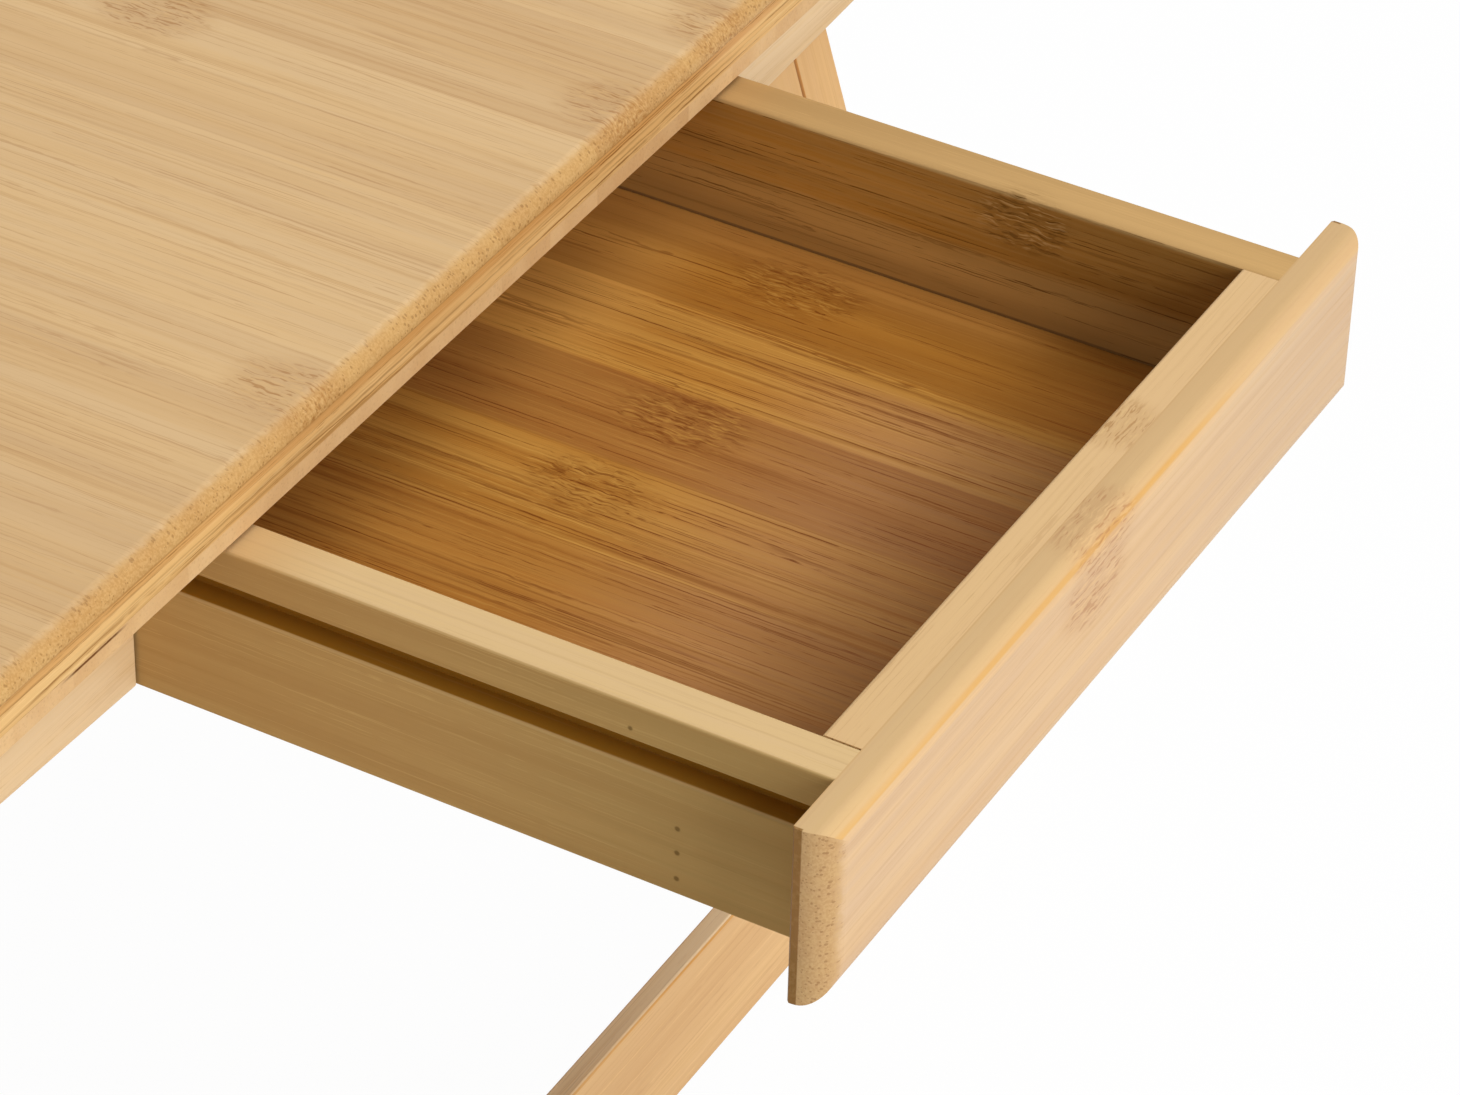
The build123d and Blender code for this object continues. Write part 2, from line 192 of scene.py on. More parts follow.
    # Broad golden bands, and strips that are darker as a whole
    gold = {"Value": sheen, "From Min": 0.38, "From Max": 0.62, "To Max": bands}
    gold = add(tree, MAP_RANGE, gold, **SMOOTH)
    golden = add(tree, MIX, {0: 0.55, 6: colour, 7: glow}, **COLOURS)
    colour = add(tree, MIX, {0: gold, 6: colour, 7: golden}, **COLOURS)
    depth = add(tree, MATH, {0: tone, 1: 0.5, 2: band}, operation="MULTIPLY_ADD")
    depth = {"Value": depth, "From Min": 0.35, "From Max": 1.1, "To Max": bands}
    depth = add(tree, MAP_RANGE, depth, **SMOOTH)
    deeper = add(tree, MIX, {0: 0.45, 6: colour, 7: line}, **COLOURS)
    colour = add(tree, MIX, {0: depth, 6: colour, 7: deeper}, **COLOURS)

    # Soft streaks 1.5 mm wide, and fine hairs and threads over them
    drawn = {"Value": flank_mask, "From Min": 0.0, "From Max": 1.0, "To Min": lines * face_lines, "To Max": lines}
    drawn = add(tree, MAP_RANGE, drawn, **SMOOTH)
    soft = {"Value": streak, "From Min": 0.50, "From Max": 0.28, "To Max": 0.55}
    soft = add(tree, MAP_RANGE, soft, **SMOOTH)
    soft = add(tree, MATH, {0: soft, 1: drawn}, operation="MULTIPLY")
    fine = {"Value": hair, "From Min": 0.43, "From Max": 0.30, "To Max": 0.9}
    fine = add(tree, MAP_RANGE, fine, **SMOOTH)
    fine = add(tree, MATH, {0: fine, 1: thread}, operation="MAXIMUM")
    fine = add(tree, MATH, {0: fine, 1: drawn}, operation="MULTIPLY")
    dark_fibres = add(tree, MATH, {0: soft, 1: fine}, operation="MAXIMUM")
    bright = {"Value": hair, "From Min": 0.57, "From Max": 0.70, "To Max": gleam}
    bright = add(tree, MAP_RANGE, bright, **SMOOTH)
    colour = add(tree, MIX, {0: bright, 6: colour, 7: glow}, **COLOURS)
    colour = add(tree, MIX, {0: dark_fibres, 6: colour, 7: line}, **COLOURS)
    colour = add(tree, MIX, {0: seam, 6: colour, 7: line}, **COLOURS)

    # Knuckles are short dark and light strokes on a slightly darker ground
    marks = add(tree, MAP_RANGE, {"Value": stroke, "From Min": 0.47, "From Max": 0.36}, **SMOOTH)
    marks = add(tree, MATH, {0: marks, 1: knuckle}, operation="MULTIPLY")
    glints = {"Value": stroke, "From Min": 0.54, "From Max": 0.64, "To Max": 0.38}
    glints = add(tree, MAP_RANGE, glints, **SMOOTH)
    glints = add(tree, MATH, {0: glints, 1: knuckle}, operation="MULTIPLY")
    knuckle_ground = add(tree, MATH, {0: knuckle, 1: 0.22}, operation="MULTIPLY")
    dark_marks = add(tree, MATH, {0: marks, 1: 0.65}, operation="MULTIPLY")
    shade = add(tree, MATH, {0: knuckle_ground, 1: dark_marks}, operation="MAXIMUM")

    # Cut ends have a sandy ground, with a ragged border where the edge rounds over
    sand = add(tree, NOISE, {"Vector": fibres, "Scale": 1 / 0.55, "Detail": 2.0}).outputs["Fac"]
    ragged = add(tree, NOISE, {"Vector": board, "Scale": 1 / 2.6, "Detail": 1.0}).outputs["Fac"]
    end_edge = add(tree, MATH, {0: sand, 1: 0.45, 2: facing["X"]}, operation="MULTIPLY_ADD")
    end_edge = add(tree, MATH, {0: ragged, 1: 0.4, 2: end_edge}, operation="MULTIPLY_ADD")
    end_mask = add(tree, MAP_RANGE, {"Value": end_edge, "From Min": 0.54, "From Max": 0.98}, **SMOOTH)
    strip_depth = add(tree, MATH, {0: depth, 1: 0.6}, operation="MULTIPLY")
    end_colour = add(tree, MIX, {0: strip_depth, 6: end, 7: line}, **COLOURS)
    dark_sand = add(tree, MIX, {0: grit * 0.4, 6: end_colour, 7: line}, **COLOURS)
    light_sand = add(tree, MIX, {0: grit, 6: end_colour, 7: glow}, **COLOURS)
    sandy = add(tree, MAP_RANGE, {"Value": sand, "From Min": 0.38, "From Max": 0.62}, **SMOOTH)
    end_colour = add(tree, MIX, {0: sandy, 6: dark_sand, 7: light_sand}, **COLOURS)
    end_share = add(tree, MATH, {0: end_mask, 1: 0.8}, operation="MULTIPLY")
    colour = add(tree, MIX, {0: end_share, 6: colour, 7: end_colour}, **COLOURS)

    # Fibre bundles are dark pores in the ends, drawn a little wider apart than real ones so that they show
    pores = add(tree, MAPPING, {"Vector": fibres, "Scale": (0.25, 1 / pore_width, 1 / pore_width)})
    pores = add(tree, "ShaderNodeTexVoronoi", {"Vector": pores, "Scale": 1.0}).outputs
    pore_size = add(tree, "ShaderNodeSeparateColor", {0: pores["Color"]}).outputs[0]
    pore_size = {"Value": pore_size, "From Min": 0.1, "From Max": 1.0, "To Min": 0.12, "To Max": 0.36}
    pore_size = add(tree, MAP_RANGE, pore_size, **SMOOTH)
    pore = add(tree, MATH, {0: pores["Distance"], 1: pore_size}, operation="LESS_THAN")
    pore = add(tree, MATH, {0: pore, 1: end_mask}, operation="MULTIPLY")
    pore_share = add(tree, MATH, {0: pore, 1: pore_depth}, operation="MULTIPLY")
    hollow = add(tree, MIX, {0: 0.45, 6: line, 7: linear("#5A4010")}, **COLOURS)
    colour = add(tree, MIX, {0: pore_share, 6: colour, 7: hollow}, **COLOURS)

    # Stains, seams, glue lines and painted light and shade, each between levels of the part's own x, y, |y| or z in mm
    place = add(tree, VECTOR_MATH, {0: point["Object"], "Scale": 1 / MM}, operation="SCALE")
    place = add(tree, "ShaderNodeSeparateXYZ", {0: place}).outputs
    level = {axis: place[axis] for axis in "XYZ"}
    level["|Y|"] = add(tree, MATH, {0: place["Y"]}, operation="ABSOLUTE")
    level.update({"end": end_mask, "side": flank_mask, "wave": sheen})
    uneven = {"Value": streak, "From Min": 0.3, "From Max": 0.7, "To Min": 0.7, "To Max": 1.0}
    uneven = add(tree, MAP_RANGE, uneven, **SMOOTH)
    tint_lines = add(tree, MATH, {0: dark_fibres, 1: strip_depth}, operation="MAXIMUM")
    colour = add_stains_and_painted_light(tree, colour, level, stains_and_painted_light, line, tint_lines, uneven)
    colour = add(tree, MIX, {0: shade, 6: colour, 7: line}, **COLOURS)
    colour = add(tree, MIX, {0: glints, 6: colour, 7: glow}, **COLOURS)

    # Small dark holes
    for *centre, radius in spots:
        away = {0: point["Object"], 1: Vector(centre) * MM}
        away = add(tree, VECTOR_MATH, away, operation="DISTANCE").outputs["Value"]
        mark = {"Value": away, "From Min": radius * MM, "From Max": radius * 0.35 * MM, "To Max": 0.6}
        mark = add(tree, MAP_RANGE, mark, **SMOOTH)
        colour = add(tree, MIX, {0: mark, 6: colour, 7: linear("#4A3010")}, **COLOURS)

    # Satin lacquer over open grain
    height = add(tree, MATH, {0: fine, 1: -0.5, 2: 0.5}, operation="MULTIPLY_ADD")
    height = add(tree, MATH, {0: marks, 1: -0.6, 2: height}, operation="MULTIPLY_ADD")
    height = add(tree, MATH, {0: height, 1: pore}, operation="SUBTRACT")
    bump = add(tree, "ShaderNodeBump", {"Height": height, "Strength": 0.35, "Distance": 0.12 * MM})
    dull = {"Value": streak, "From Min": 0.3, "From Max": 0.7, "To Min": 0.62, "To Max": 0.48}
    dull = add(tree, MAP_RANGE, dull, **SMOOTH)
    shader = {"Base Color": colour, "Roughness": dull, "Normal": bump, "Specular IOR Level": shine}
    shader = add(tree, "ShaderNodeBsdfPrincipled", shader)
    add(tree, "ShaderNodeOutputMaterial", {"Surface": shader})
    return material


def plated_steel():
    """Zinc-plated steel: pale grey metal with soft blotches 2.5 mm across."""
    material, tree = new_material("zinc_plated_steel")
    point = add(tree, "ShaderNodeTexCoord").outputs["Object"]
    blotch = add(tree, NOISE, {"Vector": point, "Scale": 0.4 / MM, "Detail": 3.0}).outputs["Fac"]
    colour = add(tree, MIX, {0: blotch, 6: linear("#B9BBBB"), 7: linear("#DADBD8")}, **COLOURS)
    dull = {"Value": blotch, "From Min": 0.3, "From Max": 0.7, "To Min": 0.28, "To Max": 0.42}
    dull = add(tree, MAP_RANGE, dull, **SMOOTH)
    shader = {"Base Color": colour, "Roughness": dull, "Metallic": 1.0}
    shader = add(tree, "ShaderNodeBsdfPrincipled", shader)
    add(tree, "ShaderNodeOutputMaterial", {"Surface": shader})
    return material


# Levels in mm that the finishes start from
top_low, top_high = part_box("tabletop_top_ply")
table_x = (top_low[0] + top_high[0]) / 2 / MM
table_top = top_high[2] / MM
panel_low, panel_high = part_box("drawer_front")
panel_back = panel_low[0] / MM
drawer_top = panel_high[2] / MM
panel_end = panel_high[1] / MM
floor_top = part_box("drawer_floor")[1][2] / MM
side_low, side_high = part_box("drawer_side_far")
side_inner = side_low[1] / MM
side_outer = side_high[1] / MM

top_knuckles = [
    (table_x + 304.0, -65, table_top), (table_x + 207.8, 31.9, table_top),
    (table_x + 307.3, 49.1, table_top), (table_x + 309.8, 86.7, table_top),
]
# The photograph doesn't show the rest of the top: its knuckles are spread as on a board of narrow strips
top_knuckles += [
    (table_x + x, y, table_top)
    for x, y in ((-262, -171), (-205, 117), (-148, -27), (-60, -117), (-15, 171), (18, 63), (72, -189))
]
floor_knuckles = [
    (table_x + 334.8, -8.7, floor_top), (table_x + 339.3, 20.2, floor_top),
    (table_x + 336.6, 71.7, floor_top),
]
# On a board that runs across the table, the pattern's x is the part's y and its y is the part's -x
front_knuckles = [(-4.1, -(table_x + 442.5), drawer_top - 1.0), (-9.0, -(panel_back + 8.0), drawer_top - 10.8)]
inner_front_knuckles = [(25.9, -(table_x + 430.5), drawer_top)]

# Tabletop's upper ply: pale straw strips with thin brown lines, and a darker, sandy rounded end
glue_line = ([("Z", table_top - 3.6, table_top - 3.9), ("Z", table_top - 4.6, table_top - 4.2)], "#9A6A2C", 0.65)
face_ply = bamboo(
    "bamboo_face_ply", GRAIN_ALONG_X,
    face="#D6B484", flank="#D6AE7A", arris="#CCA06A", end="#BC9252", line="#9A6424", glow="#D6AE74",
    strip=18, bands=0.55, lines=0.42, gleam=0.35, knuckles=top_knuckles, knuckle_size=(15, 11),
    grit=0.3, pore_depth=0.5, stains_and_painted_light=(glue_line,),
)

# Its lower ply: the same strips, smooth and pale in the end, with one dark crack
end_crack = (
    [
        ("X", table_x + 300, table_x + 304), ("Y", -149, -142), ("Y", -126, -132),
        ("Z", table_top - 11.45, table_top - 11.1), ("Z", table_top - 10.6, table_top - 10.85),
    ],
    "#4A2600", 1.2,
)
bottom_ply = bamboo(
    "bamboo_bottom_ply", GRAIN_ALONG_X,
    face="#D6B586", flank="#D6AE7A", arris="#D6B07C", end="#D8B382", line="#A4682C", glow="#DDB474",
    strip=18, bands=0.5, lines=0.36, gleam=0.35, grit=0.12, pore_depth=0.12, shine=0.12, stains_and_painted_light=(end_crack,),
)

# Its core runs across the others, so the table's end shows its golden side grain with strong brown lines,
# browner in the upper part
core_ply = bamboo(
    "bamboo_core_ply", GRAIN_ALONG_Y,
    face="#D6AA6C", flank="#D6AA6C", arris="#D6AA6C", end="#C89A5E", line="#7E4E10", glow="#E6C288",
    strip=11, bands=0.5, lines=0.9, gleam=0.75, shine=0.12,
    stains_and_painted_light=(([("Z", table_top - 6.3, table_top - 5.5)], "#BE8442", 0.6),),
)

# Aprons and rails: plain boards with soft lines, the aprons paler on their broad sides
frame_across = bamboo(
    "bamboo_apron", GRAIN_ALONG_Y,
    face="#D9B07C", flank="#E2C498", arris="#DDA763", end="#D3A873", line="#A97A40", glow="#E2BC82",
    strip=21, seed=0.3, bands=0.6, lines=0.35,
)
frame_along = bamboo(
    "bamboo_rail", GRAIN_ALONG_X,
    face="#D9B07C", flank="#D8B182", arris="#DDA763", end="#D3A873", line="#A97C46", glow="#DDB274",
    strip=21, seed=0.6, bands=0.5, lines=0.3,
)

# Drawer's sides: smooth pale tops, and flanks that are warmer inside, partly as painted shade; painted shade also
# darkens the runner's groove, the joint with the floor, the tops by the table and the flanks towards the panel
drawer_side_tints_and_shade = (
    # Warm inner flank, partly painted shade of the drawer's inside
    ([("|Y|", side_inner + 1.3, side_inner + 0.5), ("Z", drawer_top - 0.5, drawer_top - 1.2)], "#CD8E35", 0.9),
    # Painted shade in the runner's groove
    (
        [
            ("|Y|", side_inner + 1.5, side_inner + 3.0), ("|Y|", side_outer - 0.2, side_outer - 0.8),
            ("Z", drawer_top - 14.5, drawer_top - 13.9), ("Z", drawer_top - 7.6, drawer_top - 7.9),
        ],
        "#A07024", 1.3,
    ),
    # Painted shade in the joint with the drawer's floor
    ([("|Y|", side_inner + 1.0, side_inner + 0.5), ("Z", floor_top + 0.9, floor_top + 0.55)], "#542400", 1.3),
    # Painted shadow of the table, browner, on the tops by it
    ([("Z", drawer_top - 0.6, drawer_top - 0.2), ("X", table_x + 334, table_x + 310)], "#C09A66", 0.7),
    # Painted shade of the panel: the outer flank greyer and darker, and the inner flank browner, towards it
    (
        [
            ("side", 0.4, 0.8), ("|Y|", side_outer - 1.0, side_outer - 0.4),
            ("X", table_x + 335, table_x + 425),
        ],
        "#9A8250", 0.55,
    ),
    (
        [
            ("side", 0.4, 0.8), ("|Y|", side_inner + 1.0, side_inner + 0.4),
            ("X", table_x + 330, table_x + 428),
        ],
        "#7A5A30", 0.55,
    ),
    # Paler foot of the far side's inner flank
    (
        [
            ("side", 0.4, 0.8), ("Y", side_inner - 5.0, side_inner - 1.0),
            ("Y", side_inner + 1.5, side_inner + 0.8), ("Z", floor_top + 15, floor_top + 11),
        ],
        "#C4A268", 0.45,
    ),
)
pin_x = table_x + 404.9
# The near side's flank is given a darker colour than its top, as painted shade on that side
drawer_near = bamboo(
    "bamboo_drawer_near_side", GRAIN_ALONG_X,
    face="#D8B888", flank="#B48E58", arris="#C2A06C", end="#D0A670", line="#8E6632", glow="#D9B878",
    strip=60, seed=0.5, bands=0.25, lines=0.14, shine=0.0, stains_and_painted_light=drawer_side_tints_and_shade,
    spots=(
        (pin_x, -side_outer, drawer_top - 24.5, 0.8), (pin_x, -side_outer, drawer_top - 30.1, 0.8),
        (pin_x, -side_outer, drawer_top - 36.1, 0.8), (pin_x - 10.0, -side_outer, drawer_top - 5.6, 0.7),
    ),
)

# The far side's inner flank shows narrow strips, dark lines and a knuckle
far_top = ([("side", 0.6, 0.4), ("Z", drawer_top - 0.6, drawer_top - 0.3)], "#DAB074", 0.8)
drawer_far = bamboo(
    "bamboo_drawer_far_side", GRAIN_ALONG_X,
    face="#CDA670", flank="#DCB674", arris="#D8B078", end="#D0A670", line="#5E3C10", glow="#E2B97C",
    strip=13, seed=0.5, bands=0.85, lines=1.05, face_lines=0.25, gleam=0.6, threads=0.5, shine=0.03,
    knuckles=[(table_x + 380, side_inner, 233)], knuckle_size=(12, 8), stains_and_painted_light=(*drawer_side_tints_and_shade, far_top),
)

# Drawer's inner front and back board: one plain pale strip each
drawer_across = bamboo(
    "bamboo_drawer_cross_board", GRAIN_ALONG_Y,
    face="#DCB886", flank="#B98B50", arris="#E2BE8A", end="#D0A670", line="#A0713A", glow="#DDBA80",
    strip=60, seed=0.5, bands=0.4, lines=0.3, shine=0.2, knuckles=inner_front_knuckles,
)

# Drawer's floor: wide caramel strips with strong dark lines, their dark saturated ground partly painted shade of the
# drawer's inside
drawer_bottom = bamboo(
    "bamboo_drawer_floor", GRAIN_ALONG_X,
    face="#B67D34", flank="#B67D34", arris="#B67D34", end="#B07A3C", line="#6C3206", glow="#CE9A4A",
    strip=27, seed=-0.037, bands=0.8, lines=1.0, gleam=0.65, threads=0.6, shine=0.05,
    knuckles=floor_knuckles, knuckle_size=(17, 11),
    stains_and_painted_light=(
        # Two redder strips, and the strip along the far side a little darker, partly painted shade of the far side
        ([("Y", 0.4, 2.4), ("Y", 29.2, 27.2)], "#A46A38", 0.55),
        ([("Y", -25.0, -27.0)], "#A0662E", 0.4),
        ([("Y", 53.0, 57.0)], "#B47A2E", 0.8),
        # Painted light along the far side and by the table, lifting the shade that they cast
        ([("Y", 70, 82), ("X", table_x + 405, table_x + 375)], "#E8AA58", 0.75),
        ([("Y", 5, 45), ("X", table_x + 322, table_x + 298)], "#E8AC58", 0.7),
        # Greyer towards the panel, and then darker by it with painted shade of the panel
        ([("Y", 52, 46), ("X", table_x + 335, table_x + 385)], "#B88C68", 0.4),
        ([("X", table_x + 375, table_x + 425)], "#64401E", 0.85),
    ),
)

# Drawer's panel: one pale, faintly pink board with soft lines, and sandy rounded ends full of pores
drawer_panel = bamboo(
    "bamboo_drawer_front", GRAIN_ALONG_Y,
    face="#CEAE86", flank="#CFAE88", arris="#D0AE86", end="#BC9660", line="#A8754A", glow="#DCB884",
    strip=90, seed=0.5, bands=0.7, lines=0.28, threads=0.5, pore_width=0.8, pore_depth=0.5,
    grit=0.25, shine=0.2, knuckles=front_knuckles, knuckle_size=(15, 10),
    stains_and_painted_light=(
        # Straw-coloured top, and golden streaks on the arris in front of it
        ([("Z", drawer_top - 2.7, drawer_top - 2.3), ("end", 0.6, 0.4)], "#D1AF7A", 0.85),
        (
            [
                ("Z", drawer_top - 2.6, drawer_top - 2.2), ("Z", drawer_top - 1.1, drawer_top - 1.6),
                ("end", 0.6, 0.4), ("wave", 0.36, 0.56),
            ],
            "#D09A44", 0.75,
        ),
        # Greyer far half of the face
        ([("X", panel_back + 7.4, panel_back + 7.8), ("Y", 0, 90)], "#C4AC90", 0.5),
        # Painted highlight on the back edge, and a dark strip of painted shade beside it on each end
        ([("X", panel_back + 0.45, panel_back + 0.2)], "#C8A068", 0.5),
        (
            [("|Y|", panel_end - 0.7, panel_end - 0.4), ("X", panel_back + 2.1, panel_back + 1.8)],
            "#866028", 1.2,
        ),
    ),
)

# Legs: honey-coloured bars, with painted shade as the dark line in the joint between the two
leg_joint_shade = ([("|Y|", 175.2, 175.7), ("|Y|", 176.8, 176.3)], "#8A5A2A", 0.8)
leg_right, leg_left = (
    bamboo(
        name, grain,
        face="#D4A971", flank="#D2A56E", arris="#DE9C4A", end="#CE9F66", line="#B07C42", glow="#DDB274",
        strip=40, bands=0.45, lines=0.22, stains_and_painted_light=(leg_joint_shade,),
    )
    for name, grain in (
        ("bamboo_right_leg", GRAIN_DOWN_RIGHT_LEG), ("bamboo_left_leg", GRAIN_DOWN_LEFT_LEG),
    )
)

# Crossbars: pale above, a paler colour painted as light on tops in the table's shade, with a golden arris over the
# broad straw-coloured side
crossbar = bamboo(
    "bamboo_crossbar", GRAIN_ALONG_Y,
    face="#F6DEB4", flank="#D6AE7A", arris="#CF9648", end="#CE9F66", line="#A87440", glow="#E2BC84",
    strip=40, bands=0.6, lines=0.3, gleam=0.45,
)
steel = plated_steel()

# The first start that a node's name has gives its finish
FINISHES = {
    "tabletop_core": core_ply,
    "tabletop_bottom": bottom_ply,
    "tabletop": face_ply,
    "apron": frame_across,
    "guide_tie": frame_across,
    "rail": frame_along,
    "drawer_guide": frame_along,
    "runner": frame_along,
    "drawer_side_near": drawer_near,
    "drawer_side_far": drawer_far,
    "drawer_back_board": drawer_across,
    "drawer_inner_front": drawer_across,
    "drawer_floor": drawer_bottom,
    "drawer_front": drawer_panel,
    "leg_right": leg_right,
    "leg_left": leg_left,
    "crossbar": crossbar,
    "pivot": steel,
    "front_screws": steel,
}

for name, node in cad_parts.items():
    finish = next(FINISHES[start] for start in FINISHES if name.startswith(start))
    node.data.materials.clear()
    node.data.materials.append(finish)


def fastener_tree():
    """Turned fastener with a recess in its head, one at each point, facing the point's outward direction."""
    tree = bpy.data.node_groups.new("turned_fastener", "GeometryNodeTree")
    tree.is_modifier = True
    sizes = (
        "Face Radius", "Head Radius", "Rim Depth", "Under Radius", "Head Height",
        "Shank Radius", "Shank Length", "Recess Inner", "Recess Outer", "Recess Depth",
    )
    tree.interface.new_socket("Places", in_out="INPUT", socket_type="NodeSocketGeometry")
    for size in sizes:
        tree.interface.new_socket(size, in_out="INPUT", socket_type="NodeSocketFloat")
    tree.interface.new_socket("Recess Points", in_out="INPUT", socket_type="NodeSocketInt")
    tree.interface.new_socket("Finish", in_out="INPUT", socket_type="NodeSocketMaterial")
    tree.interface.new_socket("Fasteners", in_out="OUTPUT", socket_type="NodeSocketGeometry")
    given = add(tree, "NodeGroupInput").outputs

    def sunk(shape, depth):
        """A shape set below the head's face, by a depth along the fastener's axis."""
        down = add(tree, MATH, {0: depth, 1: -1.0}, operation="MULTIPLY")
        down = add(tree, "ShaderNodeCombineXYZ", {"Z": down})
        return add(tree, "GeometryNodeTransform", {"Geometry": shape, "Translation": down})

    def turned(upper, lower, length, depth):
        """Cone or bar between two radii, with its lower end at a depth."""
        cone = {"Vertices": 40, "Radius Top": upper, "Radius Bottom": lower, "Depth": length}
        return sunk(add(tree, "GeometryNodeMeshCone", cone).outputs["Mesh"], depth)

    head_length = {0: given["Head Height"], 1: given["Rim Depth"]}
    head_length = add(tree, MATH, head_length, operation="SUBTRACT")
    tip = add(tree, MATH, {0: given["Head Height"], 1: given["Shank Length"]}, operation="ADD")
    solid = add(tree, "GeometryNodeMeshBoolean", operation="UNION", solver="EXACT")
    for shape in (
        turned(given["Face Radius"], given["Head Radius"], given["Rim Depth"], given["Rim Depth"]),
        turned(given["Head Radius"], given["Under Radius"], head_length, given["Head Height"]),
        turned(given["Shank Radius"], given["Shank Radius"], given["Shank Length"], tip),
    ):
        tree.links.new(shape.outputs[0], solid.inputs[1])

    # Star-shaped recess: three points with equal radii make a hex socket, four narrow points a cross
    star = {
        "Points": given["Recess Points"],
        "Inner Radius": given["Recess Inner"], "Outer Radius": given["Recess Outer"],
    }
    star = add(tree, "GeometryNodeCurveStar", star).outputs[0]
    filled = add(tree, "GeometryNodeFillCurve", {"Curve": star}, mode="NGONS")
    above = add(tree, MATH, {0: given["Recess Depth"], 1: 2.0}, operation="MULTIPLY")
    raised = {"Mesh": filled, "Offset": (0, 0, 1), "Offset Scale": above}
    raised = add(tree, "GeometryNodeExtrudeMesh", raised, mode="FACES").outputs["Mesh"]
    under = add(tree, "GeometryNodeFlipFaces", {"Mesh": filled}).outputs[0]
    recess = add(tree, "GeometryNodeJoinGeometry")
    tree.links.new(raised, recess.inputs[0])
    tree.links.new(under, recess.inputs[0])
    recess = add(tree, "GeometryNodeMergeByDistance", {"Geometry": recess, "Distance": 1e-6})
    recess = sunk(recess, given["Recess Depth"])
    cut = add(tree, "GeometryNodeMeshBoolean", operation="DIFFERENCE", solver="EXACT")
    tree.links.new(solid.outputs["Mesh"], cut.inputs[0])
    tree.links.new(recess.outputs[0], cut.inputs[1])

    outward = add(tree, "GeometryNodeInputNamedAttribute", {"Name": "outward"}, data_type="FLOAT_VECTOR")
    turn = {"Vector": outward.outputs["Attribute"]}
    turn = add(tree, "FunctionNodeAlignRotationToVector", turn, axis="Z")
    placed = {"Points": given["Places"], "Instance": cut.outputs["Mesh"], "Rotation": turn}
    placed = add(tree, "GeometryNodeInstanceOnPoints", placed)
    placed = add(tree, "GeometryNodeRealizeInstances", {"Geometry": placed})
    placed = add(tree, "GeometryNodeSetMaterial", {"Geometry": placed, "Material": given["Finish"]})
    add(tree, "NodeGroupOutput", {0: placed})
    return tree


def fasteners(name, tree, body, node, places, sizes):
    """Fasteners in one mesh, in place of the plain ones; places are (point, outward)."""
    mesh = bpy.data.meshes.new(name)
    mesh.from_pydata([Vector(point) for point, _ in places], [], [])
    outward = mesh.attributes.new("outward", "FLOAT_VECTOR", "POINT")
    for entry, (_, direction) in zip(outward.data, places):
        entry.vector = direction
    piece = bpy.data.objects.new(name, mesh)
    bpy.context.scene.collection.objects.link(piece)
    modifier = piece.modifiers.new("fasteners", "NODES")
    modifier.node_group = tree
    for socket in tree.interface.items_tree:
        if socket.name in sizes:
            modifier[socket.identifier] = sizes[socket.name]
    evaluated = piece.evaluated_get(bpy.context.evaluated_depsgraph_get())
    solid = bpy.data.meshes.new_from_object(evaluated)
    piece.modifiers.clear()
    piece.data = solid
    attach(piece, body)
    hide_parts(node)


def in_metres(**sizes):
    """Inputs of the fastener's tree, from sizes in mm."""
    return {name.replace("_", " ").title(): value * MM for name, value in sizes.items()}


turned_fastener = fastener_tree()
bolt_low, bolt_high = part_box("pivot_bolts")
bolt_z = (bolt_low[2] + bolt_high[2]) / 2
bolt_places = [
    ((x, y_side * bolt_high[1], bolt_z), (0, y_side, 0))
    for x in (bolt_low[0] + BOLT_HEAD_RADIUS * MM, bolt_high[0] - BOLT_HEAD_RADIUS * MM) for y_side in (-1, 1)
]
bolt_sizes = in_metres(
    face_radius=6.2, head_radius=BOLT_HEAD_RADIUS, rim_depth=0.8, under_radius=BOLT_HEAD_RADIUS, head_height=2.5,
    shank_radius=3.0, shank_length=49.0, recess_inner=2.3, recess_outer=2.3, recess_depth=1.6,
)
fasteners(
    "pivot_bolts_turned", turned_fastener, "table", "pivot_bolts", bolt_places,
    {**bolt_sizes, "Recess Points": 3, "Finish": steel},
)
screw_low, screw_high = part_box("front_screws")
screw_z = (screw_low[2] + screw_high[2]) / 2
screw_places = [
    ((screw_low[0], y, screw_z), (-1, 0, 0))
    for y in (screw_low[1] + SCREW_HEAD_RADIUS * MM, screw_high[1] - SCREW_HEAD_RADIUS * MM)
]
screw_sizes = in_metres(
    face_radius=3.7, head_radius=SCREW_HEAD_RADIUS, rim_depth=0.1, under_radius=1.9, head_height=2.0,
    shank_radius=1.9, shank_length=11.0, recess_inner=0.6, recess_outer=2.2, recess_depth=1.1,
)
fasteners(
    "front_screws_turned", turned_fastener, "drawer", "front_screws", screw_places,
    {**screw_sizes, "Recess Points": 4, "Finish": steel},
)


def lamp(name, toward, distance, size, power):
    """Square soft lamp that shines at the drawer, from a direction given by azimuth and elevation."""
    light = bpy.data.lights.new(name, "AREA")
    light.size = size
    light.energy = power
    rig = bpy.data.objects.new(name, light)
    azimuth, elevation = (math.radians(a) for a in toward)
    flat = math.cos(elevation)
    away = Vector((flat * math.cos(azimuth), flat * math.sin(azimuth), math.sin(elevation)))
    drawer_middle = Vector((0.15, 0, 0.2))
    rig.location = drawer_middle + away * distance
    rig.rotation_euler = away.to_track_quat("Z", "Y").to_euler()
    rig.visible_camera = False
    bpy.context.scene.collection.objects.link(rig)


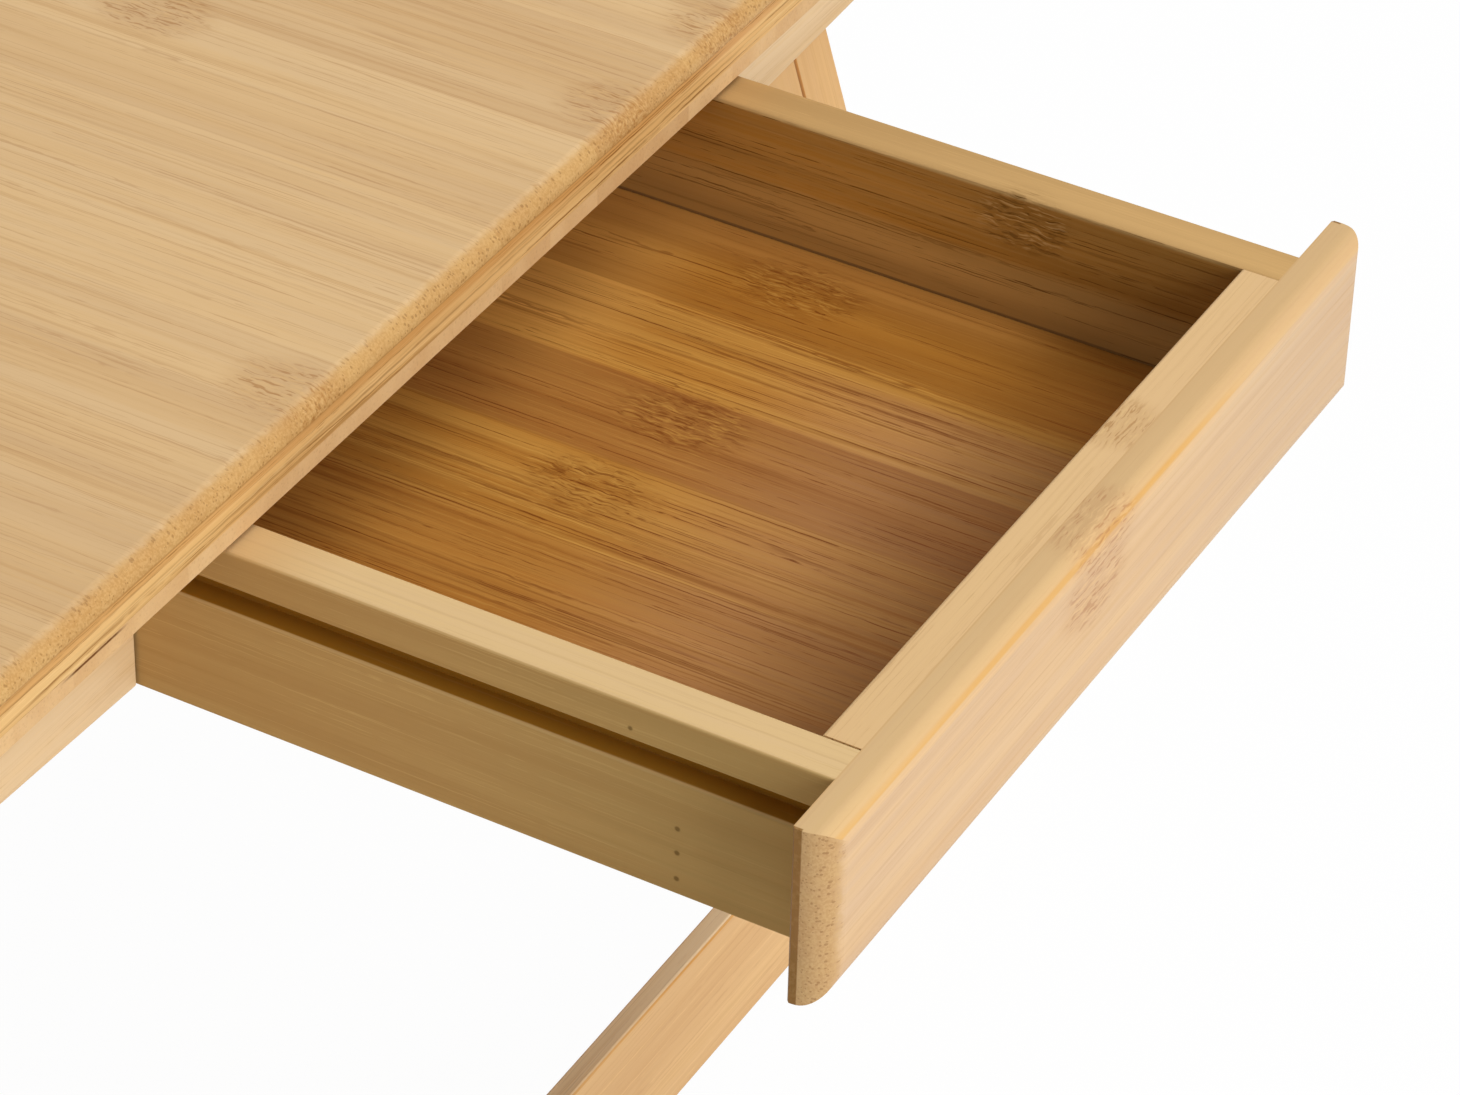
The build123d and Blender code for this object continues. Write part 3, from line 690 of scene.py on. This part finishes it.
# The drawer's front is in the light and the user's side is in the shade
lamp("key_lamp", (-17, 22), 3.0, 1.6, 49)
lamp("top_lamp", (40, 66), 3.0, 2.4, 47)


def looked_at(tree):
    """1 where the camera sees the background, by itself or in metal or glass, and 0 where it gives light."""
    path = add(tree, "ShaderNodeLightPath").outputs
    seen = add(tree, MATH, {0: path["Is Camera Ray"], 1: path["Is Glossy Ray"]}, operation="MAXIMUM")
    return add(tree, MATH, {0: seen, 1: path["Is Transmission Ray"]}, operation="MAXIMUM")


def background():
    """Pale floor and white surroundings; the floor keeps a light shadow."""
    world = bpy.data.worlds.new("studio")
    bpy.context.scene.world = world
    world.use_nodes = True
    tree = world.node_tree
    tree.nodes.clear()
    strength = {"Value": looked_at(tree), "From Min": 0.0, "From Max": 1.0, "To Min": 0.42, "To Max": 1.0}
    strength = add(tree, MAP_RANGE, strength, **SMOOTH)
    studio = add(tree, "ShaderNodeBackground", {"Color": (1, 1, 1, 1), "Strength": strength})
    add(tree, "ShaderNodeOutputWorld", {"Surface": studio})

    half = 6.0
    corners = [(-half, -half, 0), (half, -half, 0), (half, half, 0), (-half, half, 0)]
    mesh = bpy.data.meshes.new("floor")
    mesh.from_pydata(corners, [], [(0, 1, 2, 3)])
    floor = bpy.data.objects.new("floor", mesh)
    bpy.context.scene.collection.objects.link(floor)
    material, tree = new_material("pale_floor")
    paper = {"Base Color": linear("#EDEDED"), "Roughness": 0.9, "Specular IOR Level": 0.0}
    paper = add(tree, "ShaderNodeBsdfPrincipled", paper)
    white = add(tree, "ShaderNodeEmission", {"Color": (1, 1, 1, 1), "Strength": 1.0})
    share = add(tree, MATH, {0: looked_at(tree), 1: 0.97}, operation="MULTIPLY")
    blend = add(tree, "ShaderNodeMixShader", {0: share, 1: paper, 2: white})
    add(tree, "ShaderNodeOutputMaterial", {"Surface": blend})
    mesh.materials.append(material)


background()


def photo_camera():
    """Camera of the photograph: its place in mm, and where it looks."""
    place = Vector((737.807, -780.865, 871.280)) * MM
    azimuth, elevation, roll = (math.radians(a) for a in (28.839, 37.010, 1.486))
    flat = math.cos(elevation)
    look = Vector((-math.sin(azimuth) * flat, math.cos(azimuth) * flat, -math.sin(elevation)))
    lens = bpy.data.cameras.new("photo_camera")
    lens.sensor_width = 36.0
    lens.lens = 141.49
    lens.clip_start = 0.05
    lens.clip_end = 50.0
    camera = bpy.data.objects.new("photo_camera", lens)
    turn = look.to_track_quat("-Z", "Y").to_matrix().to_4x4() @ Matrix.Rotation(roll, 4, "Z")
    camera.matrix_world = Matrix.Translation(place) @ turn
    bpy.context.scene.collection.objects.link(camera)
    bpy.context.scene.camera = camera


photo_camera()
bpy.context.scene.view_settings.view_transform = "Standard"
